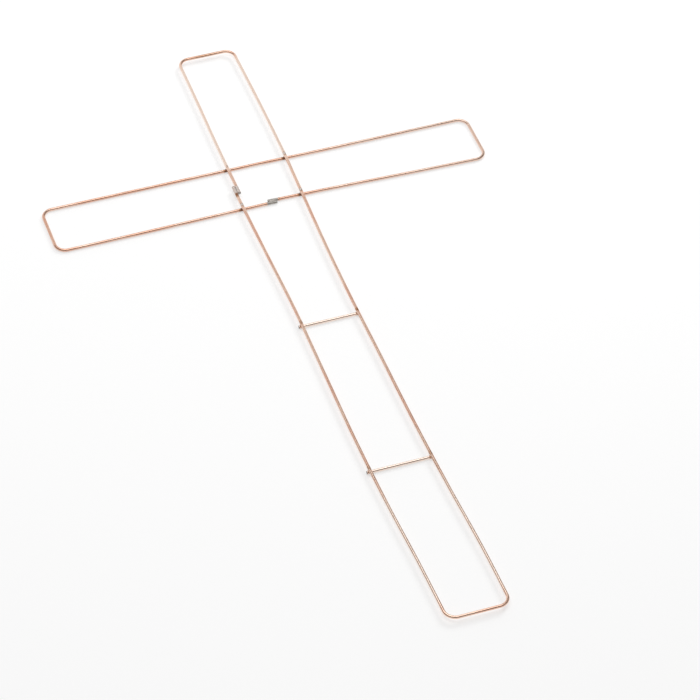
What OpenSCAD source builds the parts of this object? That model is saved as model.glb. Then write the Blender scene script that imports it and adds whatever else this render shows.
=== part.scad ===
// Cross-shaped wreath frame of copper-plated steel wire.
// Two long wire loops lie one across the other and are resistance welded where they touch.
// Two short rungs brace the long arm. Everything is laid out lying on its back, top of the cross towards +Y.
// Z = 0 is the surface it rests on, and X = 0, Y = 0 is the middle of its outline.

/* [Overall] */
// Length of the upright, over the outside of the wire
frame_length = 610; // [300:1:1000]
// Length of the crossbar, over the outside of the wire
crossbar_length = 344; // [200:1:600]
// Width of both loops, over the outside of the wire
band_width = 48; // [36:0.5:70]
// Distance from the middle of the crossbar to the top of the upright, over the wire
top_arm = 155.7; // [90:0.1:260]

/* [Wire] */
// Diameter of the wire
wire_d = 2.4; // [1.8:0.1:4]
// Inside radius of the bent corners
bend_inside_r = 6.8; // [3:0.1:14]

/* [Rungs] */
// Middle of the crossbar to the upper rung
upper_rung_drop = 155; // [60:1:260]
// Middle of the crossbar to the lower rung
lower_rung_drop = 307; // [180:1:420]
// How far a rung stands out past the upright's left wire
rung_stub = 1.1; // [0:0.1:5]

/* [Welds] */
// How far crossed wires are pressed into each other
set_down = 0.2; // [0.1:0.02:0.4]
// Diameter of the nugget between crossed wires
nugget_d = 1.9; // [1.6:0.05:2.2]
// Height of the nugget between crossed wires
nugget_h = 1; // [0.6:0.05:1.2]
// Length over which the two ends of a loop lie side by side
lap_length = 8; // [4:0.5:16]
// Narrowest gap between the two ends of a loop, bridged by the lap's nugget
lap_gap = 0.06; // [0.04:0.01:0.15]
// Diameter of the nugget between the two ends of a loop
lap_nugget_d = 3.2; // [2:0.1:3.6]
// Height of the nugget between the two ends of a loop
lap_nugget_h = 1.2; // [0.6:0.1:1.4]
// Position of the upright's lap below the middle of the crossbar
upright_lap_drop = 2.6; // [-8:0.1:8]
// Position of the crossbar's lap to the left of the upright's middle
crossbar_lap_left = 1.3; // [-8:0.1:8]

/* [Hidden] */
$fn = 48;

copper = "#c98b6b";
burnt = "#6f6a68";

// Centre lines, measured from the middle of the crossing
half_band = (band_width - wire_d) / 2;
half_bar = (crossbar_length - wire_d) / 2;
top_reach = top_arm - wire_d / 2;
foot_reach = frame_length - wire_d - top_reach;
bend_r = bend_inside_r + wire_d / 2;

// The middle of the crossing sits this far above the middle of the outline
crossing_y = frame_length / 2 - top_arm;

// Two layers: the crossbar and the rungs underneath, the upright pressed down onto them
bar_z = wire_d / 2;
upright_z = bar_z + wire_d - set_down;
contact_z = wire_d - set_down / 2;

// The last run of each loop leans a little, so that its end passes the first run's end with the gap
// between them. Its bend is set to a hundredth of a degree, rounded up so that the gap never closes.
// reach is the distance along the loop from the corner to the near end of the lap.
bend_step = 0.01;
function lean_angle(reach) = ceil(atan((wire_d + lap_gap) / reach) / bend_step) * bend_step;

// The bend that sets a leaning run off takes up this length of wire, and its radius is a round number.
set_off_arc = 0.05;
radius_step = 0.1;
function spring_r(lean) = round(set_off_arc / (lean * PI / 180) / radius_step) * radius_step;

// How far a leaning run has moved sideways, at a distance along it from the corner.
function leaned(lean, along) = (along - spring_r(lean) * tan(lean / 2)) * tan(lean);

// The upright's lower left run leans out, to pass outside the end of the upper one
upright_lean = lean_angle(foot_reach - bend_r - upright_lap_drop - lap_length / 2);
function left_wire_x(drop) = -half_band - leaned(upright_lean, foot_reach - bend_r - drop);

// The crossbar's lower right run leans in, to pass inside the end of the left one
crossbar_lean = lean_angle(half_bar - bend_r + crossbar_lap_left - lap_length / 2);
function lower_wire_y(x) = -half_band + leaned(crossbar_lean, half_bar - bend_r - x);

// A straight length of wire along +X from the origin.
module straight(length) {
  rotate([0, 90, 0])
    cylinder(d = wire_d, h = length);
}

// A bend from the origin and along +X, to the left (hand 1) or to the right (hand -1).
module bend(angle, radius, hand) {
  mirror([0, hand < 0 ? 1 : 0, 0])
    translate([0, radius, 0])
      rotate_extrude(start = -90, angle = angle)
        translate([radius, 0])
          circle(d = wire_d);
}

// A straight length, with its children carried on beyond it.
module feed(length) {
  straight(length);
  translate([length, 0, 0])
    children();
}

// A square corner to the right, with its children carried on beyond it.
module corner() {
  bend(90, bend_r, -1);
  translate([bend_r, -bend_r, 0])
    rotate([0, 0, -90])
      children();
}

// The slight bend that sets a leaning run off, with its children carried on beyond it.
module set_off(lean, hand) {
  radius = spring_r(lean);
  bend(lean, radius, hand);
  translate([radius * sin(lean), hand * radius * (1 - cos(lean)), 0])
    rotate([0, 0, hand * lean])
      children();
}

// A long loop about the origin, as it comes off a wire former. Its lap is on the lower side, at lap_x.
// left and right are the centre lines of its two short sides.
// It starts with the straight run to the left. Its last run comes back from the right, leaning
// in (hand -1) or out (hand 1), and ends beside the first one.
module loop(left, right, lap_x, lean, hand) {
  short_side = 2 * half_band - 2 * bend_r;
  lap_half = lap_length / 2;
  set_off_length = spring_r(lean) * tan(lean / 2);
  last_run = (right - bend_r - lap_x - set_off_length) / cos(lean) + lap_half - set_off_length;
  translate([lap_x + lap_half, -half_band, 0])
    rotate([0, 0, 180])
      feed(left + lap_x + lap_half - bend_r)
        corner()
          feed(short_side)
            corner()
              feed(left + right - 2 * bend_r)
                corner()
                  feed(short_side)
                    corner()
                      set_off(lean, hand)
                        straight(last_run);
}

// The fused core between two crossed wires. What shows is a thin collar in the gap around it.
module nugget() {
  translate([0, 0, -nugget_h / 2])
    cylinder(d = nugget_d, h = nugget_h);
}

// The fused core between the two ends of a loop. What shows is the web in the groove between them.
module lap_nugget() {
  translate([0, 0, -lap_nugget_h / 2])
    cylinder(d = lap_nugget_d, h = lap_nugget_h);
}

// Puts its children at a point measured from the middle of the crossing.
module from_crossing(x, y, z) {
  translate([x, y + crossing_y, z])
    children();
}

module crossing_weld_top_left() {
  color(burnt)
    from_crossing(-half_band, half_band, contact_z)
      nugget();
}

module crossing_weld_top_right() {
  color(burnt)
    from_crossing(half_band, half_band, contact_z)
      nugget();
}

module crossing_weld_bottom_left() {
  color(burnt)
    from_crossing(left_wire_x(half_band), -half_band, contact_z)
      nugget();
}

module crossing_weld_bottom_right() {
  color(burnt)
    from_crossing(half_band, lower_wire_y(half_band), contact_z)
      nugget();
}

module rung_weld_upper_left() {
  color(burnt)
    from_crossing(left_wire_x(upper_rung_drop), -upper_rung_drop, contact_z)
      nugget();
}

module rung_weld_upper_right() {
  color(burnt)
    from_crossing(half_band, -upper_rung_drop, contact_z)
      nugget();
}

module rung_weld_lower_left() {
  color(burnt)
    from_crossing(left_wire_x(lower_rung_drop), -lower_rung_drop, contact_z)
      nugget();
}

module rung_weld_lower_right() {
  color(burnt)
    from_crossing(half_band, -lower_rung_drop, contact_z)
      nugget();
}

module upright_lap_weld() {
  color(burnt)
    from_crossing((left_wire_x(upright_lap_drop) - half_band) / 2, -upright_lap_drop, upright_z)
      lap_nugget();
}

module crossbar_lap_weld() {
  color(burnt)
    from_crossing(-crossbar_lap_left, (lower_wire_y(-crossbar_lap_left) - half_band) / 2, bar_z)
      lap_nugget();
}

module upright_loop() {
  color(copper)
    difference() {
      from_crossing(0, 0, upright_z)
        rotate([0, 0, -90])
          loop(top_reach, foot_reach, upright_lap_drop, upright_lean, 1);
      upright_lap_weld();
      crossing_weld_top_left();
      crossing_weld_top_right();
      crossing_weld_bottom_left();
      crossing_weld_bottom_right();
      rung_weld_upper_left();
      rung_weld_upper_right();
      rung_weld_lower_left();
      rung_weld_lower_right();
    }
}

module crossbar_loop() {
  color(copper)
    difference() {
      from_crossing(0, 0, bar_z)
        loop(half_bar, half_bar, -crossbar_lap_left, crossbar_lean, -1);
      crossbar_lap_weld();
      crossing_weld_top_left();
      crossing_weld_top_right();
      crossing_weld_bottom_left();
      crossing_weld_bottom_right();
    }
}

// A rung at a distance below the crossbar. Its right end is flush with the upright's right wire.
module rung(drop) {
  left_end = left_wire_x(drop) - wire_d / 2 - rung_stub;
  right_end = half_band + wire_d / 2;
  from_crossing(left_end, -drop, bar_z)
    straight(right_end - left_end);
}

module upper_rung() {
  color(copper)
    difference() {
      rung(upper_rung_drop);
      rung_weld_upper_left();
      rung_weld_upper_right();
    }
}

module lower_rung() {
  color(copper)
    difference() {
      rung(lower_rung_drop);
      rung_weld_lower_left();
      rung_weld_lower_right();
    }
}

upright_loop();
crossbar_loop();
upper_rung();
lower_rung();
upright_lap_weld();
crossbar_lap_weld();
crossing_weld_top_left();
crossing_weld_top_right();
crossing_weld_bottom_left();
crossing_weld_bottom_right();
rung_weld_upper_left();
rung_weld_upper_right();
rung_weld_lower_left();
rung_weld_lower_right();
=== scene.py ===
import math

import bpy
import numpy as np
from mathutils import Matrix, Vector


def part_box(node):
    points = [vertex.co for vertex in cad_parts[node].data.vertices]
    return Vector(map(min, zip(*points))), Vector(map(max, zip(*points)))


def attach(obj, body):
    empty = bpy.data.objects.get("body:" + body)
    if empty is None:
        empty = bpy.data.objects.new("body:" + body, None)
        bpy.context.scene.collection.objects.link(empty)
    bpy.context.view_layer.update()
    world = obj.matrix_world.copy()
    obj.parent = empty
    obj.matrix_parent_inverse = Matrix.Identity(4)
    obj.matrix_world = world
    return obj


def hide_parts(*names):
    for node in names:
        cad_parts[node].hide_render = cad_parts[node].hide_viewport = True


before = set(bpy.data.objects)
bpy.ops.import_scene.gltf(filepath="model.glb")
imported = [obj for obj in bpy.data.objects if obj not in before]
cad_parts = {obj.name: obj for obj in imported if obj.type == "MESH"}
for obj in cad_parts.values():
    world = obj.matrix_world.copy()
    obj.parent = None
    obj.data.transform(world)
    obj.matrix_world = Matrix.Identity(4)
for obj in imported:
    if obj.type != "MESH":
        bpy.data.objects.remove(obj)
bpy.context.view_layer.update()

mm = 0.001  # lengths are in metres, and the small ones are written as so many mm
print("frame loaded:", len(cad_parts), "nodes")


def middle(node):
    # the middle of a node's box
    low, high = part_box(node)
    return (low + high) / 2


lowUpright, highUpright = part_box("upright_loop")
lowCrossbar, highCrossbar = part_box("crossbar_loop")
wire = {
    "radius": (highCrossbar.z - lowCrossbar.z) / 2,
    "bend": 8 * mm,          # centre-line radius of every corner
    "lapGap": 0.06 * mm,     # between the two ends of a loop, where they lie side by side
    "step": 0.7 * mm,        # distance between rings of the surface
    "finer": 4,              # small steps summed along the centre-line for each ring
    "sides": 28,             # points round the wire
    "cutBevel": 0.12 * mm,   # the rolled edge that the cutter leaves
    "sheared": 0.35 * mm,    # how far from a cut end the bare steel shows
    "slack": 0.012,          # share of the radius left free, so that the waver stays inside it
    "waver": 0.003,          # share of the radius, left by the straightening rollers
    "waverLengths": (21 * mm, 34 * mm, 55 * mm),
    "flatEdge": 0.035 * mm,  # how round the edge of a pressed flat is
    "leastPress": 0.001 * mm,   # where it is pressed less than this, the surface stays round
    "bulge": 0.25,           # how much of the pressed depth stands out sideways
    "burnEdge": 1.6,         # how sharply a burn ends round the wire
}
anyPhase = (0, 6.3)   # radians, a little over one turn, for the random waves
sharpAngle = math.radians(50)   # where faces meet at more than this, their edge is drawn sharp
radius = wire["radius"]
halfBand = middle("crossing_weld_top_right").x   # centre-line to centre-line, halved
crossing = Vector((0, middle("crossing_weld_top_right").y - halfBand, 0))
halfBar = highCrossbar.x - radius
topReach = highUpright.y - radius
footReach = lowUpright.y + radius
uprightHeight = (lowUpright.z + highUpright.z) / 2
barHeight = (lowCrossbar.z + highCrossbar.z) / 2

# Each run of wire is springy, so it bows a little between its welds. A run's row is how many mm it
# stands off its straight line, at the places in its "At" row, in mm from the middle of the crossing.
bow = {
    "uprightAt": (-453, -400, -340, -280, -200, -135, -80, -23, 23, 60, 100, 155),
    "leftRun": (3.2, 2.2, 0.2, -0.4, 0.7, 1.5, 0.7, 0.0, -0.2, 0.0, 0.6, 0.8),
    "rightRun": (3.6, 2.8, 0.4, -1.2, -1.9, -2.5, -2.0, -0.5, 0.7, 1.0, 0.8, 0.0),
    "crossbarAt": (-171, -110, -50, 0, 50, 110, 171),
    "topRun": (0.3, 0.3, 0.2, 0.1, -0.4, -0.5, -0.5),
    "bottomRun": (-0.6, -0.4, 0.3, 0.8, 0.3, -1.0, -2.0),
}


def smoothThrough(at, values, x):
    # cubic Hermite through the given places, each slope the average one on its two sides
    at, values = np.array(at) * mm, np.array(values) * mm
    slope = np.gradient(values, at)
    k = np.clip(np.searchsorted(at, x) - 1, 0, len(at) - 2)
    h = at[k + 1] - at[k]
    t = np.clip((x - at[k]) / h, 0, 1)
    return ((1 + 2 * t) * (1 - t) ** 2 * values[k] + t * (1 - t) ** 2 * h * slope[k]
            + t * t * (3 - 2 * t) * values[k + 1] + t * t * (t - 1) * h * slope[k + 1])


def bowUpright(points):
    # x moves by a blend of the left run's bow and the right run's, by where x is between them
    x, y = points[:, 0], points[:, 1] - crossing.y
    left = smoothThrough(bow["uprightAt"], bow["leftRun"], y)
    right = smoothThrough(bow["uprightAt"], bow["rightRun"], y)
    share = np.clip(0.5 + 0.5 * x / halfBand, 0, 1)
    out = points.copy()
    out[:, 0] = x + left * (1 - share) + right * share
    return out


def bowCrossbar(points):
    # y moves by a blend of the bottom run's bow and the top run's, by where y is between them
    x, y = points[:, 0], points[:, 1] - crossing.y
    bottom = smoothThrough(bow["crossbarAt"], bow["bottomRun"], x)
    top = smoothThrough(bow["crossbarAt"], bow["topRun"], x)
    share = np.clip(0.5 + 0.5 * y / halfBand, 0, 1)
    out = points.copy()
    out[:, 1] = y + crossing.y + bottom * (1 - share) + top * share
    return out


def atWeld(x, y, z, *bows):
    # one point carried through the same bows as the wires it joins
    point = np.array([[x, y, z]])
    for bowed in bows:
        point = bowed(point)
    return point[0]


def bentLine(start, heading, runs, turns, height):
    # The centre-line of one bent wire. Its heading is the first heading plus each turn times a ramp
    # over that bend's arc; its place is the running sum of steps in the direction of the heading.
    arcs = [abs(math.radians(turn)) * wire["bend"] for turn in turns]
    total = sum(runs) + sum(arcs)
    count = int(total / wire["step"]) * wire["finer"]
    s = np.linspace(0, total, count + 1)
    angle = np.full_like(s, math.radians(heading))
    reached = 0
    for run, arc, turn in zip(runs, arcs, turns):
        angle += math.radians(turn) * np.clip((s - reached - run) / arc, 0, 1)
        reached += run + arc
    between = (angle[1:] + angle[:-1]) / 2
    step = np.diff(s)
    x = start[0] + np.r_[0, np.cumsum(np.cos(between) * step)]
    y = start[1] + np.r_[0, np.cumsum(np.sin(between) * step)]
    return np.c_[x, y, np.full_like(x, height)][::wire["finer"]]


def loopLine(start, heading, runs, lap, leanSide, height):
    # Five runs with a corner between each two, all to the right. The last run leans to pass beside the
    # first one's end: tangent of the lean = how far it moves over / its length up to the lap.
    aside = 2 * radius + wire["lapGap"]
    lean = math.degrees(math.atan(aside / (runs[-1] - lap)))
    return bentLine(start, heading, runs, [-90, -90, -90, -90 + leanSide * lean], height)


def putMesh(name, points, faces, attributes):
    # one object at the origin, with its place in its mesh
    mesh = bpy.data.meshes.new(name)
    mesh.from_pydata(points.tolist(), [], faces)
    for label, values in attributes.items():
        if values.ndim == 2:
            mesh.attributes.new(label, "FLOAT_VECTOR", "POINT").data.foreach_set("vector", values.ravel())
        else:
            mesh.attributes.new(label, "FLOAT", "POINT").data.foreach_set("value", values)
    mesh.shade_smooth()
    mesh.set_sharp_from_angle(angle=sharpAngle)
    mesh.validate()
    piece = bpy.data.objects.new(name, mesh)
    bpy.context.scene.collection.objects.link(piece)
    return piece


def gridFaces(rings, sides, firstPole, lastPole):
    # quads between neighbouring rings, and a fan of triangles to the pole at each end
    i, j = np.meshgrid(np.arange(rings - 1), np.arange(sides), indexing="ij")
    k = (j + 1) % sides
    quads = np.stack([i * sides + j, i * sides + k, (i + 1) * sides + k, (i + 1) * sides + j], -1)
    side = np.arange(sides)
    after = (side + 1) % sides
    last = (rings - 1) * sides
    first = np.stack([np.full(sides, firstPole), after, side], -1)
    final = np.stack([np.full(sides, lastPole), last + side, last + after], -1)
    return quads.reshape(-1, 4).tolist() + first.tolist() + final.tolist()


def ringPlaces(s):
    # Where the rings stand along the wire, and the share of the radius that each has: 1 at every point
    # of the line, and at each end two rings on the flat cut face and four up the rolled edge.
    bevel = wire["cutBevel"]
    along = bevel * np.array([0, 0, 0, 0.06, 0.3, 1])
    lost = bevel * np.array([1, 0.65, 0.22, 0]) / radius
    share = np.r_[0.35, 0.7, 1 - lost]
    keep = (s > bevel * 1.2) & (s < s[-1] - bevel * 1.2)   # clear of the rolled edges
    place = np.r_[along, s[keep], s[-1] - along[::-1]]
    return place, np.r_[share, np.ones(keep.sum()), share[::-1]]


def marksLeft(centre, sine, marks):
    # What the welding left on each ring, the strongest mark winning. With d the distance from the mark:
    # pressed depth = depth times exp(-(d / length)^4), heat = heat times exp(-(d / tint)^2), and
    # burn = grey times exp(-(d / (length burnt))^4), on the side that the mark faces.
    pressTop = np.zeros(len(centre))
    pressBase = np.zeros(len(centre))
    burn = np.zeros((len(centre), len(sine)))
    heat = np.zeros(len(centre))
    for mark in marks:
        away = centre[:, :2] - np.array(mark["at"])[:2]
        press = np.exp(-(np.linalg.norm(away, axis=1) / mark["length"]) ** 4)
        pressTop = np.maximum(pressTop, mark.get("top", 0) * press)
        pressBase = np.maximum(pressBase, mark.get("base", 0) * press)
        fromBurn = np.linalg.norm(away - np.array(mark.get("off", (0, 0))), axis=1)
        heat = np.maximum(heat, mark["heat"] * np.exp(-(fromBurn / mark["tint"]) ** 2))
        reach = np.exp(-(fromBurn / (mark["length"] * mark["burnt"])) ** 4)
        facing = np.clip(0.5 + mark.get("facing", 1) * sine * wire["burnEdge"], 0, 1)
        if mark.get("allRound"):
            facing = np.ones_like(facing)
        burn = np.maximum(burn, mark.get("grey", 1) * reach[:, None] * facing)
    return pressTop, pressBase, burn, heat


def pressedFlat(z, axisHeight, pressTop, pressBase):
    # Height = soft minimum with the lid, then soft maximum with the ground. The soft maximum of a and b
    # is e log(exp(a / e) + exp(b / e)), where e is how round the flat's edge is.
    soft = wire["flatEdge"]
    lid = axisHeight + radius - pressTop
    ground = axisHeight - radius + pressBase
    z = np.where(pressTop > wire["leastPress"], -soft * np.logaddexp(-z / soft, -lid / soft), z)
    return np.where(pressBase > wire["leastPress"], soft * np.logaddexp(z / soft, ground / soft), z)


def carryRound(name, line, marks, fresh, seed):
    # A circle carried along the line: point = line(s) + r(s) (side cos a + up sin a), where r(s) is the
    # radius with a faint waver, a sum of three sine waves. At each mark it is pressed flat and bulges.
    s = np.r_[0, np.cumsum(np.linalg.norm(np.diff(line, axis=0), axis=1))]
    place, swell = ringPlaces(s)
    centre = np.stack([np.interp(place, s, line[:, axis]) for axis in range(3)], -1)
    ahead = np.stack([np.gradient(line[:, axis], s) for axis in range(3)], -1)
    tangent = np.stack([np.interp(place, s, ahead[:, axis]) for axis in range(3)], -1)
    tangent /= np.linalg.norm(tangent, axis=1)[:, None]
    up = np.array([0.0, 0.0, 1.0])
    side = np.cross(tangent, up)
    angle = np.linspace(0, 2 * np.pi, wire["sides"], endpoint=False)
    spin = np.random.default_rng(seed)
    ripple = np.zeros_like(place)
    for length in wire["waverLengths"]:
        ripple += wire["waver"] * np.sin(2 * np.pi * place / length + spin.uniform(*anyPhase))
    r = radius * swell * (1 - wire["slack"] + ripple)
    cosine, sine = np.cos(angle), np.sin(angle)
    points = (centre[:, None, :] + (r[:, None] * cosine)[..., None] * side[:, None, :]
              + (r[:, None] * sine)[..., None] * up)

    pressTop, pressBase, burn, heat = marksLeft(centre, sine, marks)
    points[..., 2] = pressedFlat(points[..., 2], centre[:, 2, None], pressTop[:, None], pressBase[:, None])
    spread = 1 + wire["bulge"] * (pressTop + pressBase) / radius
    points[..., :2] = centre[:, None, :2] + (points[..., :2] - centre[:, None, :2]) * spread[:, None, None]

    rings, sides = len(place), len(angle)
    allPoints = np.r_[points.reshape(-1, 3), [centre[0], centre[-1]]]
    around = np.empty((rings, sides, 3))   # place on the wire: across, across and along
    around[..., 0] = radius * cosine
    around[..., 1] = radius * sine
    around[..., 2] = place[:, None]
    cut = np.clip(1.4 - np.minimum(place, s[-1] - place) / wire["sheared"], 0, 1)   # 0.4 where it ends
    faces = gridFaces(rings, sides, len(allPoints) - 2, len(allPoints) - 1)
    return putMesh(name, allPoints, [face[::-1] for face in faces], {
        "alongWire": np.r_[around.reshape(-1, 3), [[0, 0, 0], [0, 0, s[-1]]]],
        "burnt": np.r_[burn.ravel(), burn[0, 0], burn[-1, 0]],
        "heated": np.r_[np.repeat(heat, sides), heat[0], heat[-1]],
        "fresh": fresh(allPoints),
        "sheared": np.r_[np.repeat(cut, sides), 1, 1],
    })


def pinchedBead(name, centre, size, turn, seed):
    # Metal squeezed out of a weld, over angle a and height v from -1 to 1: its reach is the size there
    # times (1 - |v|^p)^(1/p), times one plus a few waves round it, and it stands out in four corners.
    rings, sides = size["rings"], size["sides"]
    v = np.sin(np.linspace(-np.pi / 2, np.pi / 2, rings + 2)[1:-1])
    a = np.linspace(0, 2 * np.pi, sides, endpoint=False)
    spin = np.random.default_rng(seed)
    waves = 1 + size["corner"] * np.abs(np.sin(2 * a)) ** size["cornerSharp"]
    for count in size["waves"]:
        waves = waves + size["ragged"] / count ** 0.5 * np.sin(count * a + spin.uniform(*anyPhase))
    fall = (1 - np.abs(v) ** size["square"]) ** (1 / size["square"])
    lump = 1 + size["lumpy"] * np.sin(3 * a[None, :] + 4 * v[:, None] + spin.uniform(*anyPhase))
    across = fall[:, None] * waves[None, :] * lump
    x = size["long"] * across * np.cos(a)
    y = size["wide"] * across * np.sin(a)
    tilt = 1 + size["uneven"] * np.cos(2 * a + spin.uniform(*anyPhase))
    z = size["tall"] * v[:, None] * tilt[None, :]
    c, n = math.cos(turn), math.sin(turn)
    points = np.stack([centre[0] + x * c - y * n, centre[1] + x * n + y * c, centre[2] + z], -1)
    poles = np.array([[centre[0], centre[1], centre[2] - size["tall"]],
                      [centre[0], centre[1], centre[2] + size["tall"]]])
    allPoints = np.r_[points.reshape(-1, 3), poles]
    return putMesh(name, allPoints, gridFaces(rings, sides, len(allPoints) - 2, len(allPoints) - 1), {})


def newGroup(name, inputs, outputs):
    # an empty node group with named sockets, and its two end nodes
    group = bpy.data.node_groups.new(name, "ShaderNodeTree")
    for label, kind, value in inputs:
        socket = group.interface.new_socket(name=label, in_out="INPUT", socket_type=kind)
        if value is not None:
            socket.default_value = value
    for label, kind in outputs:
        group.interface.new_socket(name=label, in_out="OUTPUT", socket_type=kind)
    return group, group.nodes.new("NodeGroupInput"), group.nodes.new("NodeGroupOutput")


def addNode(tree, kind, values=None, **settings):
    # a node with its settings, and then values for its sockets
    node = tree.nodes.new(kind)
    for key, value in settings.items():
        setattr(node, key, value)
    for key, value in (values or {}).items():
        node.inputs[key].default_value = value
    return node


def ramp(tree, fromSocket, low, high):
    # 0 below low, 1 above high and a smooth step between
    node = addNode(tree, "ShaderNodeMapRange", {"From Min": low, "From Max": high},
                   interpolation_type="SMOOTHSTEP", clamp=True)
    tree.links.new(fromSocket, node.inputs["Value"])
    return node.outputs["Result"]


def fromTo(tree, fromSocket, low, high):
    # low where the socket is 0, high where it is 1
    node = addNode(tree, "ShaderNodeMapRange", {"To Min": low, "To Max": high})
    tree.links.new(fromSocket, node.inputs["Value"])
    return node.outputs["Result"]


def arithmetic(tree, operation, a, b):
    # a and b are each a number or a socket
    node = addNode(tree, "ShaderNodeMath", operation=operation)
    for socket, value in zip(node.inputs, (a, b)):
        if isinstance(value, (int, float)):
            socket.default_value = value
        else:
            tree.links.new(value, socket)
    return node.outputs[0]


def nudged(tree, socket, by, amount):
    # the socket + (by - 0.5) times the amount
    off = arithmetic(tree, "SUBTRACT", by, 0.5)
    return arithmetic(tree, "ADD", socket, arithmetic(tree, "MULTIPLY", off, amount))


def mixColour(tree, share, a, b):
    # a where the share is 0 and b where it is 1, each a colour or a socket
    node = addNode(tree, "ShaderNodeMix", data_type="RGBA")
    for socket, value in ((node.inputs[0], share), (node.inputs[6], a), (node.inputs[7], b)):
        if isinstance(value, (int, float)):
            socket.default_value = value
        elif isinstance(value, tuple):
            socket.default_value = (*value, 1)
        else:
            tree.links.new(value, socket)
    return node.outputs[2]


def noiseAt(tree, place, cells, **settings):
    # noise on a place in metres, with so many cells to the metre on each axis
    mapping = addNode(tree, "ShaderNodeMapping", {"Scale": cells})
    noise = addNode(tree, "ShaderNodeTexNoise", settings)
    tree.links.new(place, mapping.inputs["Vector"])
    tree.links.new(mapping.outputs["Vector"], noise.inputs["Vector"])
    return noise


# for each output: noise cells to the metre across the wire and along it, and the noise's detail
grainCells = {"Scratches": (5200, 55, 5.0), "Broad": (1500, 16, 3.0)}
tarnish = {"cloud": (260, 260, 34), "speckle": (2300, 2300, 1500), "maskFrom": (0.43, 0.60)}
heatTint = {
    "straw": (0.50, 0.25, 0.13), "strawFrom": (0.18, 0.50),
    "brown": (0.17, 0.085, 0.06), "brownFrom": (0.45, 0.80),
    "charFrom": (0.35, 0.62),
    "unevenHeat": 0.5, "unevenBurn": 0.7,   # how much the speckle pushes the heat and the burn
}


def drawnGrain():
    # fine scratches and broader bands that run along the wire, from noise stretched lengthwise
    group, into, out = newGroup("drawnGrain", [
        ("Place", "NodeSocketVector", None), ("Fineness", "NodeSocketFloat", 1.0)],
        [("Scratches", "NodeSocketFloat"), ("Broad", "NodeSocketFloat")])
    place = into.outputs["Place"]
    for output, (across, along, detail) in grainCells.items():
        noise = noiseAt(group, place, (across, across, along), Detail=detail, Roughness=0.62)
        group.links.new(into.outputs["Fineness"], noise.inputs["Scale"])
        group.links.new(noise.outputs["Fac"], out.inputs[output])
    return group


def dulledPatches():
    # clouds of tarnish, long on the wire, and a finer speckle
    group, into, out = newGroup("dulledPatches", [
        ("Place", "NodeSocketVector", None), ("Amount", "NodeSocketFloat", 0.5)],
        [("Mask", "NodeSocketFloat"), ("Speckle", "NodeSocketFloat")])
    place = into.outputs["Place"]
    cloud = noiseAt(group, place, tarnish["cloud"], Scale=1.0, Detail=6.0, Roughness=0.6)
    speckle = noiseAt(group, place, tarnish["speckle"], Scale=1.0, Detail=3.0, Roughness=0.7)
    lifted = nudged(group, cloud.outputs["Fac"], into.outputs["Amount"], 0.5)
    group.links.new(ramp(group, lifted, *tarnish["maskFrom"]), out.inputs["Mask"])
    group.links.new(speckle.outputs["Fac"], out.inputs["Speckle"])
    return group


def weldTint():
    # The colours that heat leaves: the metal's own, then straw, then brown, and the char at the burn.
    group, into, out = newGroup("weldTint", [
        ("Base", "NodeSocketColor", (0.8, 0.5, 0.4, 1)), ("Heat", "NodeSocketFloat", 0.0),
        ("Burn", "NodeSocketFloat", 0.0), ("Uneven", "NodeSocketFloat", 0.5),
        ("Char", "NodeSocketColor", (0.2, 0.2, 0.2, 1))],
        [("Colour", "NodeSocketColor"), ("Burnt", "NodeSocketFloat")])
    uneven = into.outputs["Uneven"]
    heat = nudged(group, into.outputs["Heat"], uneven, heatTint["unevenHeat"])
    burn = nudged(group, into.outputs["Burn"], uneven, heatTint["unevenBurn"])
    straw, brown = ramp(group, heat, *heatTint["strawFrom"]), ramp(group, heat, *heatTint["brownFrom"])
    colour = mixColour(group, straw, into.outputs["Base"], heatTint["straw"])
    colour = mixColour(group, brown, colour, heatTint["brown"])
    burnt = ramp(group, burn, *heatTint["charFrom"])
    colour = mixColour(group, burnt, colour, into.outputs["Char"])
    group.links.new(colour, out.inputs["Colour"])
    group.links.new(burnt, out.inputs["Burnt"])
    return group


grainGroup, patchGroup, tintGroup = drawnGrain(), dulledPatches(), weldTint()


def useGroup(tree, group, links, values):
    # one use of a node group, with its own links and values
    node = addNode(tree, "ShaderNodeGroup", values, node_tree=group)
    for key, socket in links.items():
        tree.links.new(socket, node.inputs[key])
    return node


def newFinish(name):
    # a new material, its node tree and its shader
    material = bpy.data.materials.new(name)
    material.use_nodes = True
    tree = material.node_tree
    return material, tree, tree.nodes["Principled BSDF"]


def readAttribute(tree, name, output="Fac"):
    # a value that the mesh carries at its points
    node = addNode(tree, "ShaderNodeAttribute", attribute_type="GEOMETRY", attribute_name=name)
    return node.outputs[output]


def addRelief(tree, shader, height, strength, distance):
    # a bump of the given height, into the shader's normal
    bump = addNode(tree, "ShaderNodeBump", {"Strength": strength, "Distance": distance})
    tree.links.new(height, bump.inputs["Height"])
    tree.links.new(bump.outputs["Normal"], shader.inputs["Normal"])


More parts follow.
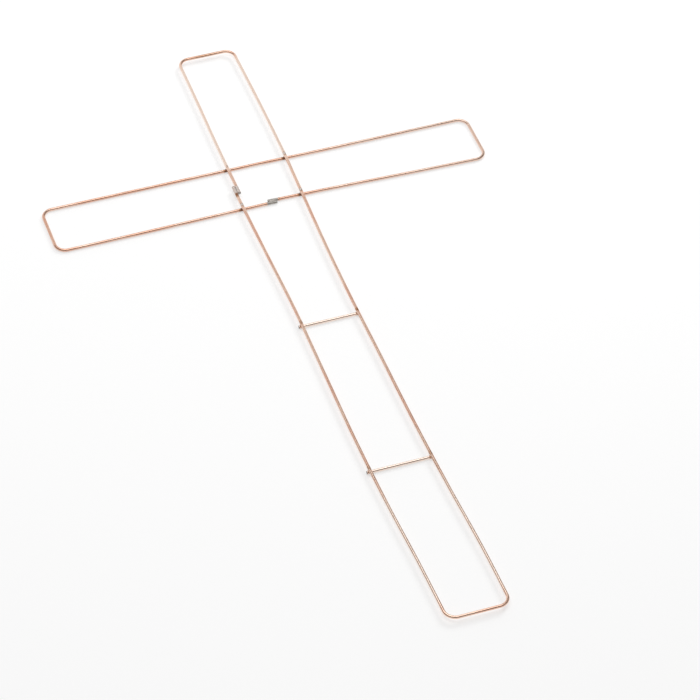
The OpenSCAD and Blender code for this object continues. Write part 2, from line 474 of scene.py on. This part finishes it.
def copperPlate(name, look):
    # thin copper plate on drawn steel wire, with tarnish, draw lines, weld heat and sheared ends
    material, tree, shader = newFinish(name)
    place = readAttribute(tree, "alongWire", "Vector")
    grain = useGroup(tree, grainGroup, {"Place": place}, {"Fineness": look["fineness"]})
    patches = useGroup(tree, patchGroup, {"Place": place}, {"Amount": look["tarnished"]})
    speckle = patches.outputs["Speckle"]
    fresh = readAttribute(tree, "fresh")
    worn = arithmetic(tree, "SUBTRACT", 1.0, fresh)
    dulled = arithmetic(tree, "MULTIPLY", patches.outputs["Mask"], worn)
    metal = mixColour(tree, dulled, look["bright"], look["dull"])
    metal = mixColour(tree, fresh, metal, look["fresh"])
    lines = ramp(tree, grain.outputs["Scratches"], *look["streakFrom"])
    lines = arithmetic(tree, "MULTIPLY", lines, arithmetic(tree, "MULTIPLY", worn, look["streaks"]))
    metal = mixColour(tree, lines, metal, look["streak"])
    tint = useGroup(tree, tintGroup, {
        "Base": metal, "Heat": readAttribute(tree, "heated"), "Burn": readAttribute(tree, "burnt"),
        "Uneven": speckle}, {"Char": (*look["char"], 1)})
    bare = ramp(tree, readAttribute(tree, "sheared"), *look["bareFrom"])
    colour = mixColour(tree, bare, tint.outputs["Colour"], look["core"])
    tree.links.new(colour, shader.inputs["Base Color"])
    shader.inputs["Metallic"].default_value = 1.0

    burnt = tint.outputs["Burnt"]
    rougher = arithmetic(tree, "MULTIPLY", burnt, look["burntRougher"])
    rough = arithmetic(tree, "ADD", fromTo(tree, grain.outputs["Broad"], *look["rough"]), rougher)
    tree.links.new(rough, shader.inputs["Roughness"])
    pits = arithmetic(tree, "MULTIPLY", speckle, arithmetic(tree, "MULTIPLY", burnt, look["burntPits"]))
    height = arithmetic(tree, "ADD", grain.outputs["Scratches"], pits)
    addRelief(tree, shader, height, look["relief"], look["reliefDepth"])
    return material


def weldMetal(name, look):
    # grey steel squeezed out hot: scaled and pitted, with a brown tinge where the speckle is strong
    material, tree, shader = newFinish(name)
    place = addNode(tree, "ShaderNodeTexCoord").outputs["Object"]
    patches = useGroup(tree, patchGroup, {"Place": place}, {"Amount": look["scaled"]})
    speckle = patches.outputs["Speckle"]
    metal = mixColour(tree, patches.outputs["Mask"], look["steel"], look["scale"])
    tint = useGroup(tree, tintGroup, {"Base": metal, "Uneven": speckle},
                    {"Heat": look["heat"], "Char": (*look["scale"], 1)})
    tree.links.new(tint.outputs["Colour"], shader.inputs["Base Color"])
    shader.inputs["Metallic"].default_value = 1.0
    tree.links.new(fromTo(tree, speckle, *look["rough"]), shader.inputs["Roughness"])
    addRelief(tree, shader, speckle, look["relief"], look["reliefDepth"])
    return material


def finishPiece(piece, material, node):
    # its finish, its body and the imported node that it stands for
    piece.data.materials.append(material)
    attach(piece, "root")
    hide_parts(node)


crossings = {}
for row in ("top", "bottom"):
    for hand in ("left", "right"):
        node = f"crossing_weld_{row}_{hand}"
        spot = middle(node)
        crossings[node] = atWeld(spot.x, spot.y, spot.z, bowUpright, bowCrossbar)
rungWelds = {}
for row in ("upper", "lower"):
    for hand in ("left", "right"):
        node = f"rung_weld_{row}_{hand}"
        spot = middle(node)
        rungWelds[node] = atWeld(spot.x, spot.y, spot.z, bowUpright)
lapUpright = middle("upright_lap_weld")
lapCrossbar = middle("crossbar_lap_weld")

copperLook = {
    "bright": (0.98, 0.70, 0.56), "dull": (0.88, 0.52, 0.38), "fresh": (0.98, 0.84, 0.74),
    "streak": (0.50, 0.29, 0.21), "char": (0.48, 0.45, 0.41), "core": (0.34, 0.31, 0.29),
    "bareFrom": (0.4, 0.9),   # the steel core shows where the sheared value is over this
    "tarnished": 0.5, "streaks": 0.45, "streakFrom": (0.34, 0.70), "fineness": 1.0,
    "rough": (0.15, 0.29), "burntRougher": 0.22,
    "relief": 0.35, "reliefDepth": 0.02 * mm, "burntPits": 1.6,
}

# What a weld leaves on a wire, where "top" and "base" are how deep the electrodes press it: a flat over
# the length, heat colours over the tint, and a grey burn over length times burnt. "off" shifts colours.
crossMark = {"length": 1.9 * mm, "tint": 2.2 * mm, "burnt": 0.7, "heat": 0.5}
lapMark = {"length": 4.0 * mm, "tint": 8 * mm, "burnt": 1.2, "heat": 0.8, "allRound": True}


def softStep(x, start, width):
    # 0 up to start, 1 from start + width on, and t t (3 - 2 t) between, t the share of the width
    t = np.clip((x - start) / width, 0, 1)
    return t * t * (3 - 2 * t)


upright = {
    "look": {**copperLook, "bright": (0.98, 0.70, 0.55), "dull": (0.90, 0.50, 0.36),
             "streak": (0.70, 0.37, 0.26), "char": (0.76, 0.66, 0.60)},
    "lap": 8 * mm,   # how far the two ends lie side by side
    "crossMark": {**crossMark, "top": 0.26 * mm, "off": (0, 2.4 * mm), "grey": 0.85},
    "rungMark": {**crossMark, "top": 0.16 * mm, "off": (0, 1.6 * mm), "grey": 0.45},
    "lapMark": {**lapMark, "top": 0.2 * mm, "base": 0.2 * mm, "heat": 0.35, "grey": 0.8},
    # painted shadow: a dark heat colour just below the lap, for the shade of the wire that runs on beside
    # it
    "belowLapShadow": {**crossMark, "off": (0.8 * mm, -5.5 * mm), "tint": 3.2 * mm, "heat": 0.95, "grey": 0},
    "topEnd": {**crossMark, "tint": 22 * mm, "heat": 0.36, "grey": 0},   # painted shade: a brown heat colour over the top side, standing in for its dark reflection and shadow
    # the grey kept on these marks, and the share of the heat colours if it is a crossing
    "wiped": {"crossing_weld_top_left": 0.1, "rung_weld_upper_right": 0.3},
    "fresh": {"all": 0.15, "arm": 0.55, "foot": 0.5},
    # where the freshness comes in or goes out: the start and the width of each smooth step
    "armIn": (-7 * mm, 14 * mm),      # upwards, from the crossbar's top run
    "armOut": (4 * mm, 12 * mm),      # downwards, from the top side
    "footIn": (300 * mm, 60 * mm),    # downwards, from the middle of the crossing
    "footOut": (4 * mm, 20 * mm),     # upwards, from the foot's short side
    "topOut": (-4 * mm, 3 * mm),      # upwards, from the top side
    "seed": 11,
}


def freshUpright(points):
    # How little the plate has dulled: a share all over, one more on the top arm's two runs, and one more
    # from the lower rung down, each times its own smooth steps in y. The top side has none.
    y = points[:, 1]
    armIn, armOut = upright["armIn"], upright["armOut"]
    footIn, footOut = upright["footIn"], upright["footOut"]
    arm = softStep(y, crossing.y + halfBand + armIn[0], armIn[1])
    arm = arm * softStep(-y, -topReach + armOut[0], armOut[1])
    foot = softStep(-y, footIn[0] - crossing.y, footIn[1])
    foot = foot * softStep(y, footReach + footOut[0], footOut[1])
    ends = 1 - softStep(y, topReach + upright["topOut"][0], upright["topOut"][1])
    share = upright["fresh"]
    return (share["all"] + share["arm"] * arm + share["foot"] * foot) * ends


bend = wire["bend"]
shortSide = 2 * (halfBand - bend)
half = upright["lap"] / 2
firstRun = topReach - bend - lapUpright.y + half
lastRun = lapUpright.y + half - footReach - bend
runs = [firstRun, shortSide, topReach - footReach - 2 * bend, shortSide, lastRun]
uprightLine = loopLine((-halfBand, lapUpright.y - half), 90, runs, upright["lap"], 1, uprightHeight)
lapSpot = atWeld(lapUpright.x, lapUpright.y, 0, bowUpright)
wiped = upright["wiped"]
uprightMarks = [{**upright["crossMark"], "at": spot, "grey": wiped.get(node, upright["crossMark"]["grey"]),
                 "heat": crossMark["heat"] * wiped.get(node, 1)} for node, spot in crossings.items()]
uprightMarks += [{**upright["rungMark"], "at": spot, "grey": wiped.get(node, upright["rungMark"]["grey"])}
                 for node, spot in rungWelds.items()]
uprightMarks += [{**upright["lapMark"], "at": lapSpot}, {**upright["belowLapShadow"], "at": lapSpot},
                 {**upright["topEnd"], "at": (0, topReach, 0)}]
uprightLoop = carryRound(
    "uprightLoop", bowUpright(uprightLine), uprightMarks, freshUpright, upright["seed"])
finishPiece(uprightLoop, copperPlate("uprightCopper", upright["look"]), "upright_loop")
print("upright made; its centre-line ends, in mm, at", uprightLine[-1] / mm)

crossbar = {
    "look": {**copperLook, "tarnished": 0.62},
    "lap": 6.4 * mm,   # how far the two ends lie side by side
    # heat and burn sit 1.5 mm left of each crossing: partly weld colour, partly painted shadow of the
    # upright wire falling there
    "crossMark": {**crossMark, "base": 0.22 * mm, "off": (-1.5 * mm, 0), "heat": 0.75, "grey": 0.4,
                  "facing": -1},
    "lapMark": {**lapMark, "top": 0.2 * mm, "base": 0.2 * mm, "burnt": 1.3, "heat": 0.5},
    "fresh": {"most": 0.35, "from": 20 * mm, "over": 100 * mm},
    "seed": 23,
}


def paleRightCrossbar(points):
    # the colour moves towards the pale 'fresh' one on the right arm: one smooth step in x
    share = crossbar["fresh"]
    return share["most"] * softStep(points[:, 0], share["from"], share["over"])


half = crossbar["lap"] / 2
firstRun = lapCrossbar.x + half + halfBar - bend
lastRun = halfBar - bend - lapCrossbar.x + half
runs = [firstRun, shortSide, 2 * (halfBar - bend), shortSide, lastRun]
barStart = (lapCrossbar.x + half, crossing.y - halfBand)
barLine = loopLine(barStart, 180, runs, crossbar["lap"], -1, barHeight)
lapSpot = atWeld(lapCrossbar.x, lapCrossbar.y, 0, bowCrossbar)
barMarks = [{**crossbar["crossMark"], "at": spot} for spot in crossings.values()]
barMarks += [{**crossbar["lapMark"], "at": lapSpot}]
crossbarLoop = carryRound(
    "crossbarLoop", bowCrossbar(barLine), barMarks, paleRightCrossbar, crossbar["seed"])
finishPiece(crossbarLoop, copperPlate("crossbarCopper", crossbar["look"]), "crossbar_loop")
print("crossbar made; its centre-line ends, in mm, at", barLine[-1] / mm)

rung = {
    # the core colour is darker than on the loops: painted shade on the rungs' cut ends, which face away
    # from the light
    "look": {**copperLook, "tarnished": 0.15, "streaks": 0.2, "rough": (0.15, 0.26),
             "core": (0.15, 0.13, 0.12)},
    "mark": {**crossMark, "base": 0.16 * mm, "facing": -1},
    "fresh": 0.7,   # the same all over
    "points": 140,   # along its centre-line
    "seeds": {"upper": 31, "lower": 37},
}
rungCopper = copperPlate("rungCopper", rung["look"])


def freshRung(points):
    # one share for every point
    return np.full(len(points), rung["fresh"])


for row, seed in rung["seeds"].items():
    low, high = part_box(f"{row}_rung")
    left, right = [atWeld(x, (low.y + high.y) / 2, barHeight, bowUpright) for x in (low.x, high.x)]
    share = np.linspace(0, 1, rung["points"])[:, None]
    marks = [{**rung["mark"], "at": rungWelds[f"rung_weld_{row}_{hand}"]} for hand in ("left", "right")]
    straight = carryRound(f"{row}Rung", left * (1 - share) + right * share, marks, freshRung, seed)
    finishPiece(straight, rungCopper, f"{row}_rung")
print("rungs made")

# A bead's long, wide and tall are half of its length, width and height. "square" is the power p of its
# side's curve, "waves" are counts round it, and corner, ragged, lumpy and uneven are shares of its size.
anyBead = {
    "rings": 40, "sides": 72, "cornerSharp": 2.2, "waves": (3, 5, 7, 11), "lumpy": 0.05, "uneven": 0.10,
}
crossBead = {
    **anyBead, "long": 1.12 * mm, "wide": 1.12 * mm, "tall": 0.42 * mm,
    "square": 2.4, "corner": 0.40, "ragged": 0.04,
    "look": {"steel": (0.36, 0.33, 0.31), "scale": (0.16, 0.15, 0.145), "scaled": 0.55, "heat": 0.35,
             "rough": (0.34, 0.62), "relief": 0.6, "reliefDepth": 0.06 * mm},
    "seed": 100,
}
lapBead = {
    **anyBead, "long": 3.6 * mm, "wide": 1.05 * mm, "tall": 0.92 * mm,
    "square": 2.3, "corner": 0.0, "ragged": 0.05,
    "look": {"steel": (0.62, 0.57, 0.53), "scale": (0.40, 0.37, 0.35), "scaled": 0.45, "heat": 0.2,
             "rough": (0.30, 0.55), "relief": 0.6, "reliefDepth": 0.06 * mm},
    "seed": 200,
}
nuggetSteel = weldMetal("nuggetSteel", crossBead["look"])
lapSteel = weldMetal("lapSteel", lapBead["look"])


def camelName(node):
    # rung_weld_upper_left becomes rungWeldUpperLeft
    first, *rest = node.split("_")
    return first + "".join(word.capitalize() for word in rest)


for count, (node, spot) in enumerate({**crossings, **rungWelds}.items()):
    bead = pinchedBead(camelName(node), spot, crossBead, 0, crossBead["seed"] + count)
    finishPiece(bead, nuggetSteel, node)
for count, (node, spot, bowed, turn) in enumerate((
        ("upright_lap_weld", lapUpright, bowUpright, math.pi / 2),
        ("crossbar_lap_weld", lapCrossbar, bowCrossbar, 0))):
    place = atWeld(spot.x, spot.y, spot.z, bowed)
    bead = pinchedBead(camelName(node), place, lapBead, turn, lapBead["seed"] + count)
    finishPiece(bead, lapSteel, node)
print("welds made; finishes in all:", len(bpy.data.materials))

floorLook = {"halfWidth": 6, "colour": (0.5, 0.5, 0.5), "glow": 0.54, "rough": 0.5}


def plainFloor(look):
    # one square at height 0, which also glows a little, as a light table does
    mesh = bpy.data.meshes.new("floor")
    h = look["halfWidth"]
    mesh.from_pydata([(-h, -h, 0), (h, -h, 0), (h, h, 0), (-h, h, 0)], [], [(0, 1, 2, 3)])
    floor = bpy.data.objects.new("floor", mesh)
    bpy.context.scene.collection.objects.link(floor)
    material, tree, shader = newFinish("paleFloor")
    shader.inputs["Base Color"].default_value = (*look["colour"], 1)
    shader.inputs["Roughness"].default_value = look["rough"]
    shader.inputs["Emission Color"].default_value = (1, 1, 1, 1)
    shader.inputs["Emission Strength"].default_value = look["glow"]
    mesh.materials.append(material)


plainFloor(floorLook)

# azimuth 0 is the far side, beyond the head of the frame, and 90 is the right
lamps = {
    "backKey": {"azimuth": 50, "elevation": 33, "distance": 2.2, "size": (0.9, 0.7), "watts": 22,
                "mirrored": False},
    "overhead": {"azimuth": 10, "elevation": 82, "distance": 2.0, "size": (1.5, 1.5), "watts": 13},
    "backPanel": {"azimuth": 0, "elevation": 0, "aim": (0, 0, 0.60), "distance": 1.3, "size": (3.0, 1.2),
                  "watts": 6.7},
    "leftFill": {"azimuth": -24, "elevation": 59, "distance": 2.0, "size": (1.1, 0.8), "watts": 2.6},
}


def softBox(name, look):
    # a rectangle of light that faces its aim, and that no camera sees
    light = bpy.data.lights.new(name, "AREA")
    light.shape = "RECTANGLE"
    light.size, light.size_y = look["size"]
    light.energy = look["watts"]
    azimuth, elevation = math.radians(look["azimuth"]), math.radians(look["elevation"])
    away = Vector((math.sin(azimuth) * math.cos(elevation), math.cos(azimuth) * math.cos(elevation),
                   math.sin(elevation)))
    lamp = bpy.data.objects.new(name, light)
    lamp.rotation_mode = "QUATERNION"
    lamp.location = Vector(look.get("aim", (0, 0, 0))) + away * look["distance"]
    lamp.rotation_quaternion = away.to_track_quat("Z", "Y")
    lamp.visible_glossy = look.get("mirrored", True)
    lamp.visible_camera = False
    bpy.context.scene.collection.objects.link(lamp)


for name, look in lamps.items():
    softBox(name, look)

worldGlow = 0.25
world = bpy.data.worlds.new("studio")
world.use_nodes = True
background = world.node_tree.nodes["Background"]
background.inputs["Color"].default_value = (1, 1, 1, 1)
background.inputs["Strength"].default_value = worldGlow
bpy.context.scene.world = world
bpy.context.scene.view_settings.view_transform = "Standard"
print("floor and lamps set up")

shot = {"lens": 178.8, "sensor": 36, "aim": (0.0029, -0.0384, 0.0), "distance": 2.530,
        "azimuth": 20.09, "elevation": 45.39, "roll": 1.26}


def placeCamera(look):
    # stands back from the aim along the line of sight, level but for the roll
    azimuth, elevation = math.radians(look["azimuth"]), math.radians(look["elevation"])
    ahead = Vector((math.sin(azimuth) * math.cos(elevation), math.cos(azimuth) * math.cos(elevation),
                    -math.sin(elevation)))
    level = ahead.cross(Vector((0, 0, 1))).normalized()
    over = level.cross(ahead)
    roll = math.radians(look["roll"])
    right = level * math.cos(roll) + over * math.sin(roll)
    up = over * math.cos(roll) - level * math.sin(roll)
    camera = bpy.data.objects.new("camera", bpy.data.cameras.new("camera"))
    camera.data.lens = look["lens"]
    camera.data.sensor_width = look["sensor"]
    where = Vector(look["aim"]) - ahead * look["distance"]
    camera.matrix_world = Matrix.Translation(where) @ Matrix((right, up, -ahead)).transposed().to_4x4()
    bpy.context.scene.collection.objects.link(camera)
    bpy.context.scene.camera = camera


placeCamera(shot)
bpy.context.view_layer.update()
